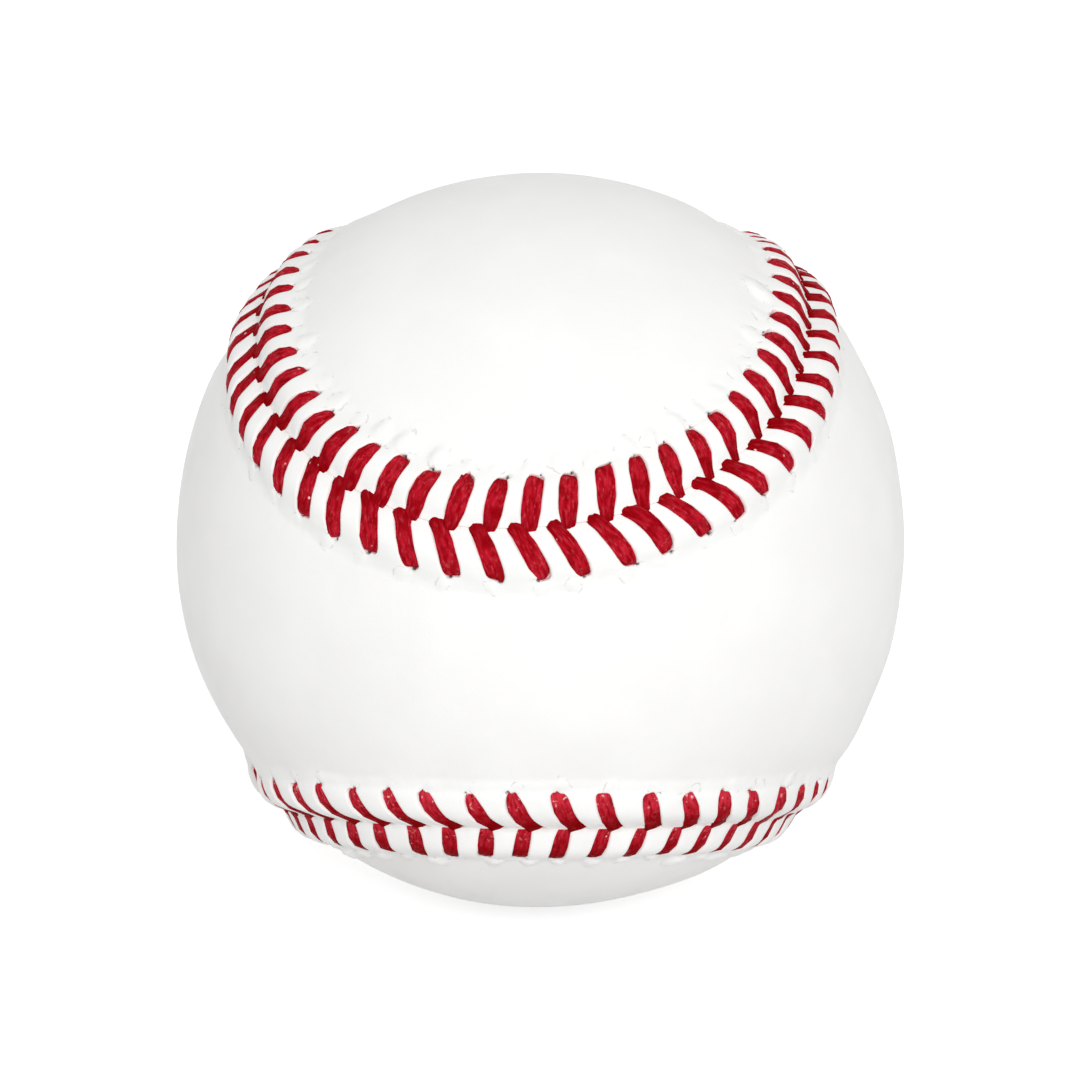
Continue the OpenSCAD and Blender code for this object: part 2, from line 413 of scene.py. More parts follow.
# Columns of points from a leg's middle line to the middle of the pillow beside it: shares of
# the width under the leg, distances from the leg's edge, and shares of the pillow
UNDER_LEG = [0.0, 0.4, 0.72]
GROOVE_WALL = [-0.24, -0.16, -0.08, 0.0, 0.18]
OVER_PILLOW = [0.3, 0.62, 1.0]
PER_STITCH = 2 * (len(UNDER_LEG + GROOVE_WALL + OVER_PILLOW) - 1)
COLUMNS = PER_STITCH * STITCHES
FOOT_STEP = 4
# Rows of points by their distance from the seam line
ROWS = [
    0.006, 0.04, 0.09, 0.18, 0.32, 0.55, 0.85, 1.2, 1.6, 2.05, 2.5, 2.95, 3.35, 3.7, 3.98, 4.18,
    4.35, 4.49, 4.6, 4.7, 4.8, 4.92, 5.08, 5.28, 5.5, 5.7, 5.9, 6.1, 6.3, 6.5, 6.72, 6.98, 7.3,
    7.75, STRIP_END,
]
EDGE_ROUND = 0.09
EDGE_DROP = 0.045
BUMP_SIZE = {"front": 0.65, "back": 1.02}
BUMP_HEIGHT = {"front": 0.13, "back": 0.35}
# How much higher a bump is by chance, where the thread is tight, and at the ball's sides
BUMP_CHANCE = 2.0
TIGHT_BUMP = {"front": -0.3, "back": 0.35}
OUTER_BUMP = -0.5
BUMP_ASIDE = -0.6
BUMP_TURN = 0.15
PILLOW_RISE = 0.15
HOLE_DEPTH = 0.5
# A fold beyond the needle holes: its depth, and how much more where the thread is tight
FOLD_DEPTH = 0.02
TIGHT_FOLD = 0.1
# Creases in the leather along the seam: depth, length and the seed of their draws
CREASES = [(0.022, 1.6, 5), (0.03, 4.0, 6)]
# Broad unevenness of the wound core: depth, length and seed
SWELL = (0.035, 17.0, 21)
# How much flatter the front panel's lobes are at the ball's right and left
RIGHT_FLAT = 0.27
LEFT_FLAT = 0.22
SPAN_STEPS = 36
LINING_STEPS = 14
LINING_PER_STITCH = 2
LINING_INSET = 1.5
# What the distances from a hole and a bump say away from the seam
FAR = 9.0


def groove_depth(inset):
    """Depth that a leg pulls into the leather: least at the seam, most at the needle hole."""
    return np.interp(
        inset,
        [0.0, 0.6, 1.6, 4.2, 4.5, 4.66, 4.8, 4.95],
        [0.42, 0.54, 0.62, 0.7, 0.85, 0.7, 0.1, 0.0],
    )


def leg_groove(panel, stitch, inset, across):
    """The groove of one leg, at a distance across its middle line."""
    skew = END_SKEW[panel][stitch % STITCHES] * smooth(inset, *HOLE_END)
    edge = leg_half_width(panel, stitch, inset)
    wall = 1 - smooth(np.abs(across), edge - 0.25, edge + 0.01)
    return groove_depth(inset - skew * across) * wall


def bump_edge(panel, stitch, inset, across):
    """How far a point is from the middle of the bump beyond a needle hole, over the thread's
    turn under the leather: 1 at the bump's edge."""
    number = stitch % STITCHES
    size = BUMP_SIZE[panel] * (1 + BUMP_SLIP[panel][number])
    beyond = inset - HOLE_INSET - 0.2 - size
    lean = (BUMP_TURN + BUMP_LEAN[panel][number]) * beyond
    aside = across - BUMP_ASIDE - BUMP_PLACE[panel][number] - lean
    return np.hypot(aside / (size - 0.18 * beyond), beyond / (1.15 * size))


def hole_edge(panel, stitch, inset, across):
    """How far a point is from the needle hole that shows at a leg's end: 1 at its rim."""
    number = stitch % STITCHES
    rim = 0.11 + 0.15 * HOLE_SIZE[panel][number]
    return np.hypot(across - HOLE_CORNER[panel][number], inset - HOLE_INSET - 0.12) / rim


def leather_relief(panel, inset, share, reach, stitch):
    """Height of the leather over the ball at a distance from the seam line. share runs from 0
    at one leg to 1 at the next, and reach is the distance between them."""
    puff = 1 + PUFF_SLIP[panel][stitch]
    end = HOLE_INSET + 1.0 + PILLOW_SLIP[panel][stitch]
    window = smooth(inset, 0.05, 0.9) * (1 - smooth(inset, end - 1.1, end + 0.5))
    rise = PILLOW_RISE * puff * np.sin(math.pi * share) ** 0.9 * window
    dimple = np.hypot((share - DIMPLE_PLACE[panel][stitch]) * reach / 0.5, (inset - 0.5) / 0.34)
    rise = rise - DIMPLE_DEPTH[panel][stitch] * np.exp(-dimple ** 2)
    for number, across in ((stitch, share * reach), (stitch + 1, (share - 1) * reach)):
        place = number % STITCHES
        change = TIGHT_BUMP[panel] * TIGHT[place] + OUTER_BUMP * OUTER[place]
        height = BUMP_HEIGHT[panel] * (1 + BUMP_CHANCE * BUMP_SLIP[panel][place] + change)
        rise = rise + height * (1 - smooth(bump_edge(panel, number, inset, across), 0.25, 1.12))
        rise = rise - leg_groove(panel, number, inset, across)
        hole = 1 - smooth(hole_edge(panel, number, inset, across), 0.4, 1.3)
        rise = rise - HOLE_DEPTH * hole
    fold = FOLD_DEPTH + TIGHT_FOLD * TIGHT[stitch]
    fold = fold * np.exp(-((inset - HOLE_INSET - 0.35) / 0.4) ** 2)
    roll = EDGE_DROP * (1 - np.sqrt(np.clip(1 - (1 - inset / EDGE_ROUND) ** 2, 0, 1)))
    return ridge_height(inset) + rise - fold - np.where(inset < EDGE_ROUND, roll, 0.0)


def column_places(edge, middle):
    """Distances of the columns from a leg's middle line, from 0 to the middle of the pillow."""
    wall = edge[..., None] + np.array(GROOVE_WALL)
    under = wall[..., :1] * np.array(UNDER_LEG)
    over = wall[..., -1:] + (middle[..., None] - wall[..., -1:]) * np.array(OVER_PILLOW)
    return np.concatenate([under, wall, over], axis=-1)


def column_shares(panel, number, inset, reach):
    """Shares of the way from each leg to the next at which the columns lie."""
    middle = reach / 2
    beyond = smooth(inset, 5.0, 6.4)
    places = []
    for stitch in (number, number + 1):
        edge = leg_half_width(panel, stitch, inset) * (1 - beyond) + 0.45 * middle * beyond
        places.append(column_places(np.minimum(edge, middle - 0.45), middle))
    second = reach[..., None] - places[1][..., ::-1]
    places = np.concatenate([places[0], second[..., 1:-1]], axis=-1)
    return (places / reach[..., None]).reshape(len(ROWS), -1)


def nearest(measure, panel, stitch, inset, share, reach):
    """The lesser of a measure from the leg on one side and the leg on the other."""
    return np.minimum(
        measure(panel, stitch, inset, share * reach),
        measure(panel, stitch + 1, inset, (share - 1) * reach),
    )


def leg_nearness(panel, stitch, inset, share, reach):
    """1 under a leg and at its edge, and 0 a third of a millimetre away."""
    gap = np.minimum(share, 1 - share) * reach
    edge = leg_half_width(panel, stitch, inset)
    return (1 - smooth(gap, edge, edge + 0.3)) * (1 - smooth(inset, 4.6, 5.2))


def stitch_grid(panel):
    """For each row and column of points: the double stitch, the distance from the seam line, the
    share of the way to the next leg, the distance to that leg, and the place along the seam."""
    side = SIDES[panel]
    number = np.arange(STITCHES)[None, :]
    rows = np.array(ROWS)[:, None]
    here = leg_along(panel, number, rows)
    ahead = leg_along(panel, number + 1, rows)
    lean = math.cos(math.atan2(HOLE_LEAD - side * TWIN_SPACING / 2, HOLE_INSET))
    reach = (ahead - here) * seam_stretch((here + ahead) / 2, side * (rows + 0 * here)) * lean
    share = column_shares(panel, number, rows, reach)
    here, ahead, reach = (np.repeat(values, PER_STITCH, axis=1) for values in (here, ahead, reach))
    stitch = np.repeat(np.arange(STITCHES), PER_STITCH)[None, :]
    return stitch, rows + 0 * share, share, reach, here + (ahead - here) * share


def sewn_strip(panel, stitch, inset, share, reach, along):
    """The leather along the seam, up to the ridge's foot, with the relief of the stitches."""
    slip = HOLE_DEPTH_SLIP[panel]
    shift = slip[stitch] * (1 - share) + slip[(stitch + 1) % STITCHES] * share
    away = inset + shift * smooth(inset, 1.0, HOLE_INSET) * (1 - smooth(inset, 5.6, STRIP_END))
    directions = ball_direction(along, SIDES[panel] * away)
    rise = leather_relief(panel, inset, share, reach, stitch)
    creased = smooth(inset, 0.3, 1.2) * (1 - smooth(inset, 5.5, 8.0))
    for depth, wave, seed in CREASES:
        rise = rise + depth * creased * ripple(directions * LEATHER_R, wave, seed)
    return (directions * (LEATHER_R + rise)[..., None]).reshape(-1, 3)


def grain_side(strip, foot_along, side):
    """The strip and the span from foot to foot: points, faces, and the number of the foot's
    column at the panel's tip."""
    turned = side < 0
    numbers = np.arange(len(strip)).reshape(len(ROWS), COLUMNS)
    faces = []
    for row in range(len(ROWS) - 2):
        faces += ring_quads(numbers[row], numbers[row + 1], turned)
    foot = numbers[-1][::FOOT_STEP].tolist()
    faces += ring_fan(numbers[-2].tolist(), foot, turned)
    tip_along = 0.0 if side > 0 else SEAM_LENGTH / 4
    apart = shorter_way(foot_along[::FOOT_STEP] - tip_along, SEAM_LENGTH)
    tip = int(np.argmin(np.abs(apart)))
    span_faces, arcs = span_lens(foot, tip, len(strip), SPAN_STEPS, turned)
    span = great_arcs(strip, arcs, LEATHER_R, SPAN_STEPS)
    return np.concatenate([strip, span]), faces + span_faces, tip


def on_wound_core(points, side, share):
    """The grain side as it lies over the uneven core: share says how far each point follows the
    core, and the outline's own humps and hollows come on top."""
    directions = unit(points)
    ends = directions[:, 0] if side < 0 else np.zeros(len(points))
    flat = RIGHT_FLAT * smooth(ends, 0.95, 1.0) + LEFT_FLAT * smooth(-ends, 0.85, 0.98)
    depth, wave, seed = SWELL
    rise = (depth * ripple(points, wave, seed) - flat) * share + unevenness(directions)
    return points + directions * rise[:, None]


def lining_side(start, rim_along, side, tip):
    """The cut edge and the lining, which lies on the adhesive coat. Its points are numbered
    from start on."""
    turned = side < 0
    edge = ball_direction(rim_along, side * (0 * rim_along + ROWS[0])) * ADHESIVE_R
    inner_along = rim_along[::PER_STITCH // LINING_PER_STITCH]
    inner = ball_direction(inner_along, side * (0 * inner_along + LINING_INSET)) * ADHESIVE_R
    edge_numbers = np.arange(start, start + COLUMNS)
    first = start + COLUMNS
    inner_numbers = list(range(first, first + len(inner)))
    faces = ring_quads(edge_numbers, np.arange(COLUMNS), turned)
    faces += ring_fan(edge_numbers.tolist(), inner_numbers, not turned)
    inner_tip = int(round(tip * len(inner) / (COLUMNS // FOOT_STEP))) % len(inner)
    span_faces, arcs = span_lens(
        inner_numbers, inner_tip, first + len(inner), LINING_STEPS, not turned
    )
    arcs = [(near - first, far - first) for near, far in arcs]
    span = great_arcs(inner, arcs, ADHESIVE_R, LINING_STEPS)
    return np.concatenate([edge, inner, span]), faces + span_faces


def leather_panel(panel):
    """A figure-of-eight leather panel with the relief of the stitches along its edge."""
    side = SIDES[panel]
    stitch, inset, share, reach, along = stitch_grid(panel)
    strip = sewn_strip(panel, stitch, inset, share, reach, along)
    grain, faces, tip = grain_side(strip, along[-1], side)
    free = np.ones(len(grain))
    free[: len(strip)] = smooth(inset, 3.0, STRIP_END).ravel()
    lining, lining_faces = lining_side(len(grain), along[0], side, tip)
    points = np.concatenate([on_wound_core(grain, side, free), lining])

    marks = {
        "seam_edge": (1 - smooth(inset, 0.05, 0.45), 0.0),
        "beside_thread": (leg_nearness(panel, stitch, inset, share, reach), 0.0),
        "hole_edge": (nearest(hole_edge, panel, stitch, inset, share, reach), FAR),
        "bump_edge": (nearest(bump_edge, panel, stitch, inset, share, reach), FAR),
    }
    attributes = []
    for label, (values, elsewhere) in marks.items():
        whole = np.full(len(points), elsewhere)
        whole[: len(strip)] = values.ravel()
        attributes.append((label, whole))
    piece = make_object(f"leather_{panel}_panel", points, faces + lining_faces, attributes)
    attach(piece, "root")
    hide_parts(f"cover_{panel}_panel")
    return piece


# Sewing thread


# Across and height of the thread's section: three plies side by side, flattened on the leather
SECTION = [
    (-0.5, 0.14), (-0.41, 0.4), (-0.2, 0.43), (0.0, 0.5), (0.2, 0.43), (0.41, 0.4),
    (0.5, 0.14), (0.36, -0.48), (-0.36, -0.48),
]
SECTION_TOP = max(height for across, height in SECTION)
# Rings along a leg: share of the hole's distance, drop in mm, shares of width and thickness
LEG_RINGS = [
    (-0.092, 0.6, 0.48, 0.7), (-0.068, 0.13, 0.7, 0.93), (-0.025, 0.01, 0.92, 1.0),
    (0.14, 0.0, 1.0, 1.0), (0.42, 0.0, 1.0, 1.0), (0.7, 0.0, 1.0, 1.0),
    (0.9, 0.02, 1.0, 1.0), (0.985, 0.12, 0.98, 0.95), (1.025, 1.0, 0.88, 0.85),
]
# How far past the seam line a leg begins, in mm: by hand, where it is tight, and at the sides
EARLY_START = (0.2, 0.07)
TIGHT_START = -0.3
OUTER_START = {"front": -0.3, "back": 0.0}
START_SKEW = 0.08
# How far one corner of a front leg's seam end reaches out, like a toe
TOE = 0.3
TOE_SLIP = 0.08
# How much wider a front leg's seam end is: on its two sides, and all over
FLARE = (0.05, 0.1)
TIGHT_FLARE = (0.37, 0.12)
OUTER_FLARE = -0.8
SPREAD = 0.14
TIGHT_SPREAD = 0.16
# How unlike a leg's rings are, how far it laps over its groove, and how high it stands in it
RING_SLIP = 0.028
GROOVE_LAP = 0.05
CROWN = 0.05
START_CROWN = 0.09
# Length of ribbon from one leg's texture to the next, in mm
RIBBON_STEP = 7.3


def model_leg():
    """One straight leg of flattened three-ply thread, modelled once: X across, Y up from the
    middle of the thread and Z from the seam towards the needle hole, in millimetres."""
    bpy.ops.mesh.primitive_circle_add(vertices=len(SECTION), radius=1.0, fill_type="NGON")
    leg = bpy.context.object
    rings = iter(LEG_RINGS)
    place, drop, wide, thick = next(rings)
    for vertex, (across, height) in zip(leg.data.vertices, SECTION):
        vertex.co = (across * THREAD_W, height * THREAD_T, 0.0)
    bpy.ops.object.mode_set(mode="EDIT")
    bpy.ops.mesh.select_all(action="SELECT")
    bpy.ops.transform.resize(value=(wide, thick, 1.0))
    bpy.ops.transform.translate(value=(0.0, -drop, place * HOLE_INSET))
    for next_place, next_drop, next_wide, next_thick in rings:
        step = next_place - place
        bpy.ops.mesh.extrude_region_move(
            TRANSFORM_OT_translate={"value": (0.0, drop - next_drop, step * HOLE_INSET)}
        )
        bpy.ops.transform.resize(
            value=(next_wide / wide, next_thick / thick, 1.0),
            center_override=(0.0, -next_drop, next_place * HOLE_INSET),
        )
        place, drop, wide, thick = next_place, next_drop, next_wide, next_thick
    bpy.ops.mesh.select_all(action="SELECT")
    bpy.ops.mesh.normals_make_consistent(inside=False)
    bpy.ops.object.mode_set(mode="OBJECT")
    return leg


def front_foot(nominal, width, across, down, stitch, draw):
    """A front leg's seam end, which reaches out at one corner and spreads."""
    tight, outer = TIGHT[stitch], OUTER[stitch]
    start_share = 1 - smooth(down, *SEAM_END)
    toe = np.minimum(across, 0.0) * start_share
    toe = (TOE * (1 - tight) + draw.normal(0.0, TOE_SLIP)) * toe
    flares = [flare + more * tight for flare, more in zip(FLARE, TIGHT_FLARE)]
    flare = np.where(across < 0, *flares) * (1 + OUTER_FLARE * outer)
    spread = SPREAD * (1 - outer) + TIGHT_SPREAD * tight
    width = width * (1 + flare * start_share) * (1 + spread * (1 - smooth(down, -0.4, 0.2)))
    return nominal - toe, width


def lay_leg(points, panel, stitch, draw):
    """Bends the straight leg over the ridge, from the seam line into its needle hole."""
    side = SIDES[panel]
    across, height, down = points.T
    tight = TIGHT[stitch]
    end_share = smooth(down, *HOLE_END)
    start_share = 1 - smooth(down, *SEAM_END)
    early = draw.normal(*EARLY_START) * (1 - tight) + TIGHT_START * tight
    early = early + OUTER_START[panel] * OUTER[stitch]
    skew = END_SKEW[panel][stitch] * end_share + draw.normal(0.0, START_SKEW) * start_share
    nominal = down + skew * across - early * start_share
    width = (leg_half_width(panel, stitch, down) + GROOVE_LAP) / (THREAD_W / 2)
    if panel == "front":
        nominal, width = front_foot(nominal, width, across, down, stitch, draw)
    rings = np.unique(np.round(down, 3), return_inverse=True)[1]
    uneven = draw.normal(0.0, RING_SLIP, (2, len(LEG_RINGS)))
    across = across + uneven[0][rings]
    width = width * (1 + uneven[1][rings])

    reach = (HOLE_INSET + HOLE_DEPTH_SLIP[panel][stitch]) / HOLE_INSET
    away = nominal * (1 + (reach - 1) * smooth(nominal, 1.0, HOLE_INSET))
    behind, here, ahead = (
        ball_direction(leg_along(panel, stitch, nominal + step), side * (away + step))
        for step in (-SHORT_STEP, 0.0, SHORT_STEP)
    )
    aside = unit(np.cross(unit(ahead - behind), here)) * side
    crown = CROWN + START_CROWN * start_share + PROUD[stitch] * (1 - start_share)
    lift = ridge_height(np.abs(nominal)) + crown - SECTION_TOP * THREAD_T + height
    lift = lift + unevenness(here)
    return here * (LEATHER_R + lift)[:, None] + aside * (across * width)[:, None]


def leg_wear_and_shade(panel, stitch, down, draw):
    """How worn a leg is and how much painted sheen it has, and how much painted shade, at each
    distance down it.
    """
    tight = TIGHT[stitch]
    # Real wear, a little towards the hole end; tight legs get painted sheen below
    wear_and_sheen = draw.uniform(0.0, 0.16) * smooth(down, 2.2, 4.2)
    # Painted shade, deepest where the leg dips into the seam
    dark = 1 - smooth(down, 0.6 * tight, 1.4 + 1.6 * tight)
    if panel == "back":
        # Tight back legs: painted shade towards the hole end under the lower ridge, and painted
        # sheen near the seam
        dark = dark * (1 - tight) + smooth(down, 1.2, 3.0) * tight
        wear_and_sheen = wear_and_sheen + 0.3 * tight * (1 - smooth(down, 0.4, 2.4))
    else:
        # Tight front legs: painted sheen towards the hole end
        wear_and_sheen = wear_and_sheen + 0.75 * tight * smooth(down, 2.9, 4.4)
    # The painted shade is deeper where the thread is tight and at the ball's sides
    return wear_and_sheen, (0.6 + 0.4 * max(tight, OUTER[stitch])) * dark


def sewing_thread(name, leg, panels):
    """One needle's thread, whose legs lie on the two panels in turn."""
    draw = np.random.default_rng(len(name))
    shape = np.array([vertex.co for vertex in leg.data.vertices])
    # Sorted, since the extruded faces come in another order in each run
    loops = sorted(list(face.vertices) for face in leg.data.polygons)
    points, faces, flat = [], [], []
    marks = {"leg_tone": [], "wear_and_sheen": [], "shaded_end": []}
    for stitch in range(STITCHES):
        panel = panels[stitch % 2]
        first = len(points) * len(shape)
        points.append(lay_leg(shape, panel, stitch, draw))
        for loop in loops:
            faces.append([first + corner for corner in (loop[::-1] if panel == "back" else loop)])
        marks["leg_tone"].append(np.full(len(shape), draw.uniform(0.0, 1.0)))
        wear_and_sheen, dark = leg_wear_and_shade(panel, stitch, shape[:, 2], draw)
        marks["wear_and_sheen"].append(wear_and_sheen)
        marks["shaded_end"].append(dark)
        flat.append(shape[:, [0, 2]] + [[0.0, stitch * RIBBON_STEP]])
    attributes = [(label, np.concatenate(values)) for label, values in marks.items()]
    piece = make_object(name, np.concatenate(points), faces, attributes)
    flat = np.concatenate(flat)
    layer = piece.data.uv_layers.new(name="ribbon")
    corners = np.zeros(len(piece.data.loops), np.int32)
    piece.data.loops.foreach_get("vertex_index", corners)
    layer.data.foreach_set("uv", flat[corners].astype(np.float32).ravel())
    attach(piece, "root")
    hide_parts(name)
    return piece


# Materials


class Finish:
    """A node material that is built up from short calls."""

    def __init__(self, name):
        self.material = bpy.data.materials.new(name)
        self.material.use_nodes = True
        self.tree = self.material.node_tree
        self.shader = self.tree.nodes["Principled BSDF"]

    def node(self, kind, **values):
        """A node with its settings and inputs by name, with _ for a space."""
        made = self.tree.nodes.new(kind)
        for key, value in values.items():
            if hasattr(made, key):
                setattr(made, key, value)
            else:
                self.feed(made.inputs[key.replace("_", " ")], value)
        return made

    def feed(self, socket, value):
        if isinstance(value, bpy.types.NodeSocket):
            self.tree.links.new(value, socket)
        else:
            socket.default_value = value

    def fill(self, made, *values):
        """Feeds a node's first inputs in their order."""
        for socket, value in zip(made.inputs, values):
            self.feed(socket, value)
        return made.outputs[0]

    def math(self, operation, *values):
        return self.fill(self.node("ShaderNodeMath", operation=operation), *values)

    def times(self, first, second):
        return self.math("MULTIPLY", first, second)

    def coats(self, color, *coats):
        """A colour with others laid over it in turn: each coat is a share and a colour."""
        for share, coat in coats:
            made = self.node("ShaderNodeMix", data_type="RGBA")
            for place, value in ((0, share), (6, color), (7, coat)):
                self.feed(made.inputs[place], value)
            color = made.outputs[2]
        return color

    def ramp(self, value, low, high, start=0.0, end=1.0):
        """start below low, end above high, and a smooth step between them."""
        made = self.node("ShaderNodeMapRange", interpolation_type="SMOOTHSTEP", clamp=True)
        return self.fill(made, value, low, high, start, end)

    def place(self):
        return self.node("ShaderNodeTexCoord").outputs["Object"]

    def noise(self, size, detail=3.0, vector=None, roughness=0.5):
        """Noise whose features are about this many millimetres across."""
        return self.node("ShaderNodeTexNoise", Scale=1.0 / (size * MM), Detail=detail,
                         Roughness=roughness, Vector=vector or self.place()).outputs["Fac"]

    def patches(self, size, low, high, start=0.0, end=1.0, detail=3.0):
        return self.ramp(self.noise(size, detail), low, high, start, end)

    def ribbon_noise(self, ribbon, scale, detail):
        return self.node("ShaderNodeTexNoise", Scale=scale, Detail=detail,
                         Vector=ribbon).outputs["Fac"]

    def grain(self, size):
        """Distance from scattered points that lie about this many millimetres apart."""
        return self.node("ShaderNodeTexVoronoi", Scale=1.0 / (size * MM),
                         Vector=self.place()).outputs["Distance"]

    def attribute(self, name):
        return self.node("ShaderNodeAttribute", attribute_name=name).outputs["Fac"]

    def relief(self, *layers):
        """Relief in layers: each is a height and its depth in millimetres."""
        before = {}
        for height, depth in layers:
            made = self.node("ShaderNodeBump", Strength=1.0, Distance=depth * MM, Height=height,
                             **before)
            before = {"Normal": made.outputs["Normal"]}
        return made.outputs["Normal"]

    def surface(self, **values):
        names = {"color": "Base Color", "specular": "Specular IOR Level", "normal": "Normal",
                 "roughness": "Roughness", "sheen": "Sheen Weight"}
        for key, value in values.items():
            self.feed(self.shader.inputs[names[key]], value)
        return self.material


def tone(red, green, blue):
    return (red, green, blue, 1.0)


def white_leather():
    """Smooth white leather: faint mottling and fine pores, with painted shade in the needle holes
    and along the creases round the bumps.
    """
    finish = Finish("white_leather")
    mottle = finish.patches(9.0, 0.35, 0.68)
    smudge = finish.patches(2.2, 0.62, 0.8, 0.0, 0.25, detail=5.0)
    stain = finish.times(finish.attribute("beside_thread"),
                         finish.patches(0.6, 0.45, 0.75, 0.0, 0.2))
    edge = finish.times(finish.attribute("seam_edge"), finish.patches(1.3, 0.35, 0.7, 0.0, 0.6))
    # Thin creases round the bumps beyond the needle holes: they shape the relief, and the colour
    # darkens along them as painted shade
    crease_and_shade = finish.math("ADD", finish.attribute("bump_edge"),
                         finish.times(finish.noise(1.3, detail=4.0), 1.7))
    crease_and_shade = finish.math("ABSOLUTE", finish.math("SUBTRACT", crease_and_shade, 1.85))
    crease_and_shade = finish.times(finish.ramp(crease_and_shade, 0.02, 0.14, 1.0, 0.0),
                          finish.patches(0.9, 0.52, 0.66, detail=2.0))
    # Painted shade in the needle holes: near black inside each hole, with a ragged edge
    rim = finish.math("ADD", finish.attribute("hole_edge"),
                      finish.times(finish.noise(0.22, detail=4.0), 1.6))
    color = finish.coats(
        tone(0.925, 0.922, 0.905),
        (mottle, tone(0.95, 0.948, 0.935)),
        (smudge, tone(0.9, 0.885, 0.86)),
        (stain, tone(0.9, 0.76, 0.74)),
        (edge, tone(0.86, 0.72, 0.7)),
        # painted shade along the creases
        (finish.times(crease_and_shade, 0.23), tone(0.42, 0.4, 0.38)),
        # painted shade in the needle holes
        (finish.ramp(rim, 1.2, 1.9, 1.0, 0.0), tone(0.12, 0.105, 0.105)),
    )
    normal = finish.relief(
        (finish.grain(0.34), 0.008), (finish.noise(0.16, detail=4.0), 0.006),
        (finish.noise(1.1, detail=2.0), 0.02), (crease_and_shade, -0.04),
    )
    rough = finish.patches(3.0, 0.3, 0.7, 0.4, 0.5)
    return finish.surface(color=color, roughness=rough, normal=normal, specular=0.2)


DEEP_RED = tone(0.24, 0.0005, 0.002)


def red_waxed_thread():
    """Waxed three-ply thread: twisted streaks, painted shade at the edges, between the plies and
    at the ends, and painted highlights and glints.
    """
    finish = Finish("red_waxed_thread")
    ribbon = finish.node("ShaderNodeUVMap", uv_map="ribbon").outputs["UV"]
    parts = finish.node("ShaderNodeSeparateXYZ", Vector=ribbon)
    across, down = parts.outputs[0], parts.outputs[1]
    wobble = finish.times(finish.ribbon_noise(ribbon, 0.8, 2.0), 5.5)
    slant = finish.math("MULTIPLY_ADD", down, -1.5, wobble)
    twist = finish.math("ADD", finish.times(across, 9.6), slant)
    plies = finish.math("MULTIPLY_ADD", finish.math("SINE", twist), 0.5, 0.5)
    stretched = finish.node("ShaderNodeMapping", Vector=ribbon, Scale=(2.6, 0.8, 1.0)).outputs[0]
    fibres = finish.ribbon_noise(stretched, 1.1, 4.0)
    # Fine fibres: they shape the relief, and their pale pink colour is a painted highlight
    hairs_and_highlights = finish.ribbon_noise(stretched, 2.0, 2.0)
    blotch = finish.ribbon_noise(ribbon, 0.65, 3.0)
    wear_and_sheen = finish.attribute("wear_and_sheen")
    # Painted glints: small pale pink dots scattered over the thread
    dots = finish.node("ShaderNodeTexVoronoi", Scale=0.75, Vector=ribbon).outputs["Distance"]
    speck_glints = finish.times(finish.ramp(dots, 0.05, 0.12, 1.0, 0.0), finish.patches(2.2, 0.5, 0.58))
    darker = finish.ramp(finish.attribute("leg_tone"), 0.0, 1.0, 0.0, 0.25)
    # Painted shade along the leg's edges, where the thread turns down into its groove
    rim = finish.ramp(finish.math("ABSOLUTE", across), 0.74, 0.92, 0.0, 0.2)
    # Painted highlights in small patches where the leg is worn
    wax_highlights = finish.times(wear_and_sheen, finish.patches(0.45, 0.6, 0.68))
    color = finish.coats(
        tone(0.36, 0.0016, 0.007),
        (finish.ramp(fibres, 0.36, 0.64), tone(0.57, 0.0125, 0.031)),
        # painted highlights along the fibres
        (finish.ramp(hairs_and_highlights, 0.53, 0.7, 0.0, 0.5), tone(0.63, 0.1, 0.12)),
        (finish.ramp(blotch, 0.48, 0.66, 0.0, 0.7), tone(0.25, 0.0008, 0.003)),
        # painted shade in the grooves between the plies
        (finish.ramp(plies, 0.0, 0.5, 0.3, 0.0), DEEP_RED),
        (darker, tone(0.34, 0.0015, 0.006)),
        # painted shade towards one end of each leg
        (finish.attribute("shaded_end"), DEEP_RED),
        # paler where the leg is worn, with painted sheen
        (finish.times(wear_and_sheen, finish.ramp(fibres, 0.3, 0.6)), tone(0.68, 0.04, 0.068)),
        # painted shade along the edges
        (rim, tone(0.24, 0.001, 0.003)),
        # painted glints
        (speck_glints, tone(0.9, 0.62, 0.58)),
        # painted highlights
        (wax_highlights, tone(0.88, 0.5, 0.48)),
    )
    normal = finish.relief((plies, 0.07), (fibres, 0.07), (hairs_and_highlights, 0.025))
    rough = finish.ramp(blotch, 0.4, 0.6, 0.3, 0.55)
    return finish.surface(color=color, roughness=rough, normal=normal, specular=0.006)


def cork_composition():
    """Ground cork and rubber pressed together: tan grains, dark flecks and small pits."""
    finish = Finish("cork_composition")
    cells = finish.node("ShaderNodeTexVoronoi", Scale=1 / (1.1 * MM), Vector=finish.place())
    color = finish.coats(
        tone(0.42, 0.24, 0.11),
        (finish.ramp(cells.outputs["Color"], 0.2, 0.8), tone(0.66, 0.45, 0.27)),
        (finish.ramp(finish.grain(2.3), 0.08, 0.2, 0.8, 0.0), tone(0.1, 0.045, 0.025)),
    )
    pits = finish.ramp(cells.outputs["Distance"], 0.0, 0.5)
    normal = finish.relief((pits, 0.15), (finish.noise(0.4, detail=6.0), 0.1))
    return finish.surface(color=color, roughness=0.85, normal=normal, specular=0.2)


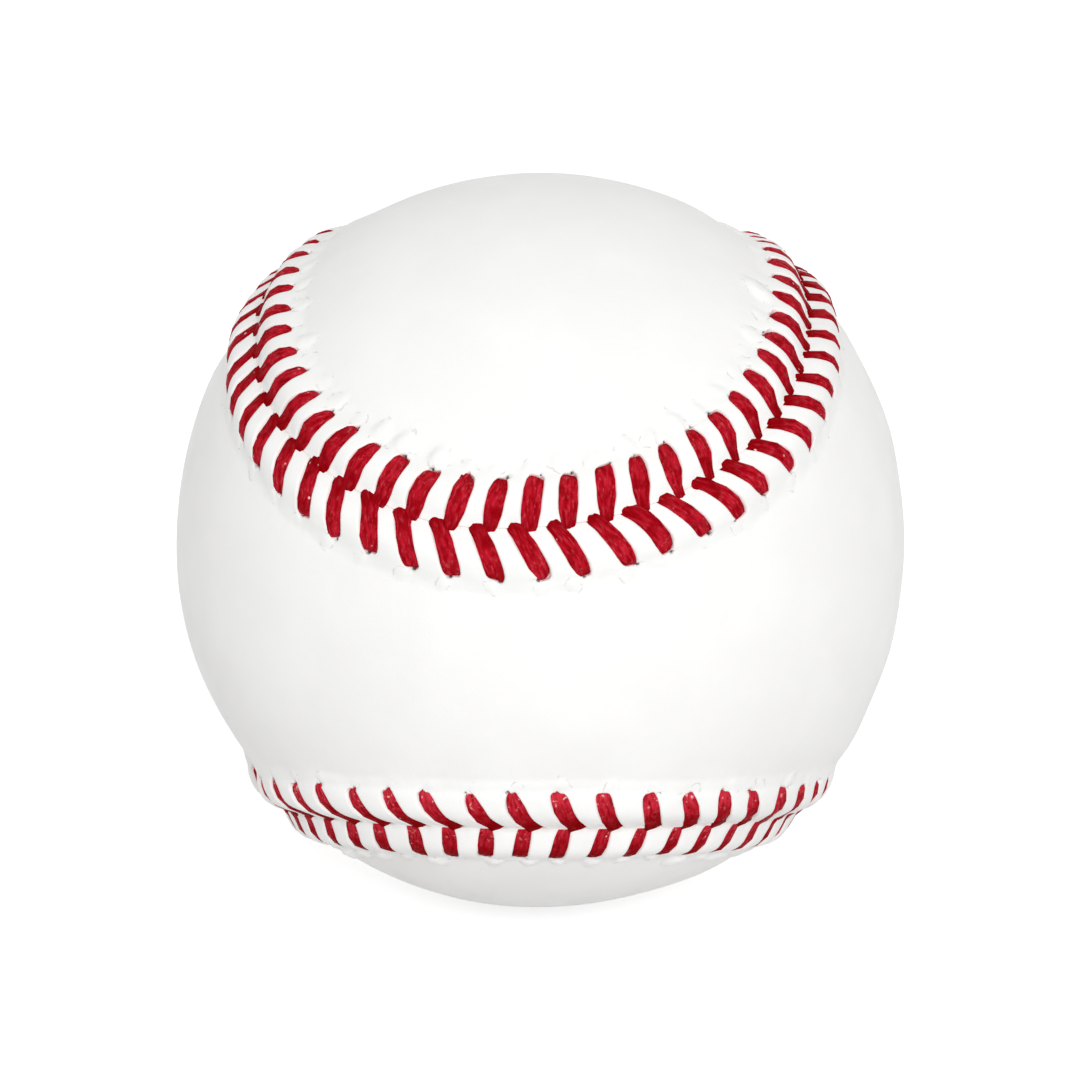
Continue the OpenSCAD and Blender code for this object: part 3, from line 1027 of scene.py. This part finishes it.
def moulded_rubber(name, dark, light, roughness):
    """Moulded rubber: a dull skin with bloom, flow marks and fine pitting."""
    finish = Finish(name)
    color = finish.coats(dark, (finish.patches(5.0, 0.35, 0.7, detail=6.0), light))
    rough = finish.patches(2.0, 0.3, 0.7, roughness - 0.08, roughness + 0.1)
    normal = finish.relief((finish.noise(0.25, detail=4.0), 0.03), (finish.noise(3.5), 0.08))
    return finish.surface(color=color, roughness=rough, normal=normal, specular=0.35)


# Bands of turns in a winding, and the wave texture's scale for turns 1 mm wide
YARN_BANDS = 5
WAVE_TURNS = 0.32


def wound_yarn(name, dark, light, yarn_w, sheen):
    """Yarn wound in great circles: bands of turns in several directions over each other."""
    finish = Finish(name)
    place = finish.place()
    height = None
    for number in range(YARN_BANDS):
        turn = (0.7 * number, 1.1 * number + 0.4, 1.9 * number)
        turned = finish.node("ShaderNodeMapping", Vector=place, Rotation=turn).outputs[0]
        band = finish.node("ShaderNodeTexWave", Scale=WAVE_TURNS / (yarn_w * MM), Distortion=1.4,
                           Detail=1.0, Detail_Scale=0.6, Vector=turned).outputs["Fac"]
        if height is None:
            height = band
            continue
        patch = finish.ramp(finish.noise(11.0 + number, detail=1.0, vector=turned), 0.49, 0.53)
        height = finish.coats(height, (patch, band))
    fluff = finish.noise(yarn_w * 0.3, detail=6.0, roughness=0.7)
    # Painted shade: the colour is dark in the low parts between the turns and light on their tops
    color = finish.coats(dark, (finish.ramp(height, 0.0, 0.75), light),
                         (finish.ramp(fluff, 0.45, 0.8, 0.0, 0.5), light))
    normal = finish.relief((height, yarn_w * 0.45), (fluff, yarn_w * 0.12))
    return finish.surface(color=color, roughness=0.92, normal=normal, specular=0.15, sheen=sheen)


def dried_cement():
    """A thin coat of dried latex over fine thread: amber where it pooled, dull where thin."""
    finish = Finish("dried_cement")
    pooled = finish.patches(3.2, 0.4, 0.65, detail=5.0)
    color = finish.coats(tone(0.8, 0.74, 0.58), (pooled, tone(0.62, 0.47, 0.25)))
    rough = finish.ramp(pooled, 0.0, 1.0, 0.65, 0.3)
    thread = finish.node("ShaderNodeTexWave", Scale=WAVE_TURNS / (0.3 * MM), Distortion=1.0,
                         Vector=finish.place()).outputs["Fac"]
    normal = finish.relief((thread, 0.05), (finish.noise(1.2, detail=4.0), 0.08))
    return finish.surface(color=color, roughness=rough, normal=normal, specular=0.45)


def dress(piece, material):
    piece.data.materials.clear()
    piece.data.materials.append(material)


# Finishes under the leather. Rubber: name, dark and light colour, roughness, and pieces
RUBBERS = [
    ("black_moulded_rubber", tone(0.012, 0.012, 0.013), tone(0.04, 0.04, 0.042), 0.55,
     ["inner_cup_upper", "inner_cup_lower"]),
    ("red_moulded_rubber", tone(0.36, 0.055, 0.035), tone(0.5, 0.1, 0.07), 0.6,
     ["outer_cup_front", "outer_cup_back"]),
    ("gasket_rubber", tone(0.22, 0.03, 0.022), tone(0.32, 0.06, 0.045), 0.7,
     ["inner_gasket", "outer_gasket"]),
]
# Yarn: name, colour in the painted shade between turns and colour on the turns, width in mm,
# sheen, and the winding
YARNS = [
    ("dark_grey_wool", tone(0.06, 0.057, 0.052), tone(0.2, 0.19, 0.175), 2.0, 0.3,
     "first_wool_winding"),
    ("white_wool", tone(0.42, 0.38, 0.3), tone(0.82, 0.78, 0.68), 1.5, 0.3,
     "second_wool_winding"),
    ("grey_wool", tone(0.14, 0.13, 0.115), tone(0.42, 0.4, 0.36), 1.5, 0.3,
     "third_wool_winding"),
    ("white_cotton", tone(0.55, 0.5, 0.4), tone(0.88, 0.85, 0.77), 0.45, 0.15,
     "finishing_winding"),
]


def dress_inside():
    """Gives the pieces that lie under the leather their finishes."""
    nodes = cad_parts
    dress(nodes["cork_core"], cork_composition())
    dress(nodes["adhesive_coat"], dried_cement())
    for *values, pieces in RUBBERS:
        material = moulded_rubber(*values)
        for piece in pieces:
            dress(nodes[piece], material)
    for *values, winding in YARNS:
        dress(nodes[winding], wound_yarn(*values))


# Studio


FLOOR_SIZE = 6000.0
KEY_LIGHT_SIZE = 700.0
KEY_LIGHT_WATTS = 9.9
KEY_LIGHT_PLACE = {"azimuth": 12.0, "elevation": 25.5, "distance": 1500.0}
WORLD_LEVEL = 0.68
WHITE = tone(1.0, 1.0, 1.0)
TABLE_GREY = tone(0.7, 0.7, 0.7)
TABLE_GLOW = 0.62


def seen_directly(tree):
    """1 for what the camera sees, straight or in a reflection or through glass, else 0."""
    path = tree.nodes.new("ShaderNodeLightPath")
    total = path.outputs["Is Camera Ray"]
    for name in ("Is Glossy Ray", "Is Transmission Ray"):
        add = tree.nodes.new("ShaderNodeMath")
        add.operation = "ADD"
        add.use_clamp = True
        tree.links.new(total, add.inputs[0])
        tree.links.new(path.outputs[name], add.inputs[1])
        total = add.outputs[0]
    return total


def studio_world():
    world = bpy.data.worlds.new("studio")
    bpy.context.scene.world = world
    world.use_nodes = True
    tree = world.node_tree
    level = tree.nodes.new("ShaderNodeMapRange")
    tree.links.new(seen_directly(tree), level.inputs[0])
    level.inputs[3].default_value = WORLD_LEVEL
    level.inputs[4].default_value = 1.0
    tree.links.new(level.outputs[0], tree.nodes["Background"].inputs["Strength"])
    tree.nodes["Background"].inputs["Color"].default_value = WHITE


def white_table():
    """The plain white floor that the ball rests on."""
    bpy.ops.mesh.primitive_plane_add(size=FLOOR_SIZE * MM)
    floor = bpy.context.object
    floor.name = "white_table"
    floor.data.transform(Matrix.Translation((0.0, 0.0, -LEATHER_R * MM)))
    finish = Finish("white_table")
    finish.surface(color=TABLE_GREY, roughness=0.9, specular=0.1)
    glow = finish.times(seen_directly(finish.tree), TABLE_GLOW)
    finish.feed(finish.shader.inputs["Emission Strength"], glow)
    finish.shader.inputs["Emission Color"].default_value = WHITE
    dress(floor, finish.material)


def turned_to(azimuth, elevation, roll=0.0):
    """Axes of a thing that looks at the origin from a direction: across, up and back."""
    azimuth, elevation, roll = (math.radians(angle) for angle in (azimuth, elevation, roll))
    back = np.array([math.sin(azimuth) * math.cos(elevation),
                     -math.cos(azimuth) * math.cos(elevation), math.sin(elevation)])
    level = np.array([math.cos(azimuth), math.sin(azimuth), 0.0])
    upright = np.cross(back, level)
    across = level * math.cos(roll) + upright * math.sin(roll)
    return across, np.cross(back, across), back


def set_down(thing, azimuth, elevation, distance, roll=0.0):
    across, up, back = turned_to(azimuth, elevation, roll)
    axes = Matrix([list(row) for row in zip(across, up, back)]).to_4x4()
    thing.matrix_world = Matrix.Translation(back * distance * MM) @ axes
    bpy.context.scene.collection.objects.link(thing)


def key_light():
    light = bpy.data.lights.new("key_light", "AREA")
    light.shape = "DISK"
    light.size = KEY_LIGHT_SIZE * MM
    light.energy = KEY_LIGHT_WATTS
    set_down(bpy.data.objects.new("key_light", light), **KEY_LIGHT_PLACE)


def camera():
    data = bpy.data.cameras.new("camera")
    data.lens = CAMERA_LENS
    data.sensor_width = SENSOR_WIDTH
    data.clip_start = 0.01
    thing = bpy.data.objects.new("camera", data)
    set_down(thing, CAMERA_AZIMUTH, CAMERA_ELEVATION, CAMERA_DISTANCE, CAMERA_ROLL)
    bpy.context.scene.camera = thing


camera()
studio_world()
key_light()
white_table()
bpy.context.scene.view_settings.view_transform = "Standard"

leather = white_leather()
for panel_name in SIDES:
    dress(leather_panel(panel_name), leather)
leg_model = model_leg()
thread = red_waxed_thread()
for thread_name, panels_sewn in (
    ("thread_first_needle", ("back", "front")),
    ("thread_second_needle", ("front", "back")),
):
    dress(sewing_thread(thread_name, leg_model, panels_sewn), thread)
bpy.data.objects.remove(leg_model)
dress_inside()
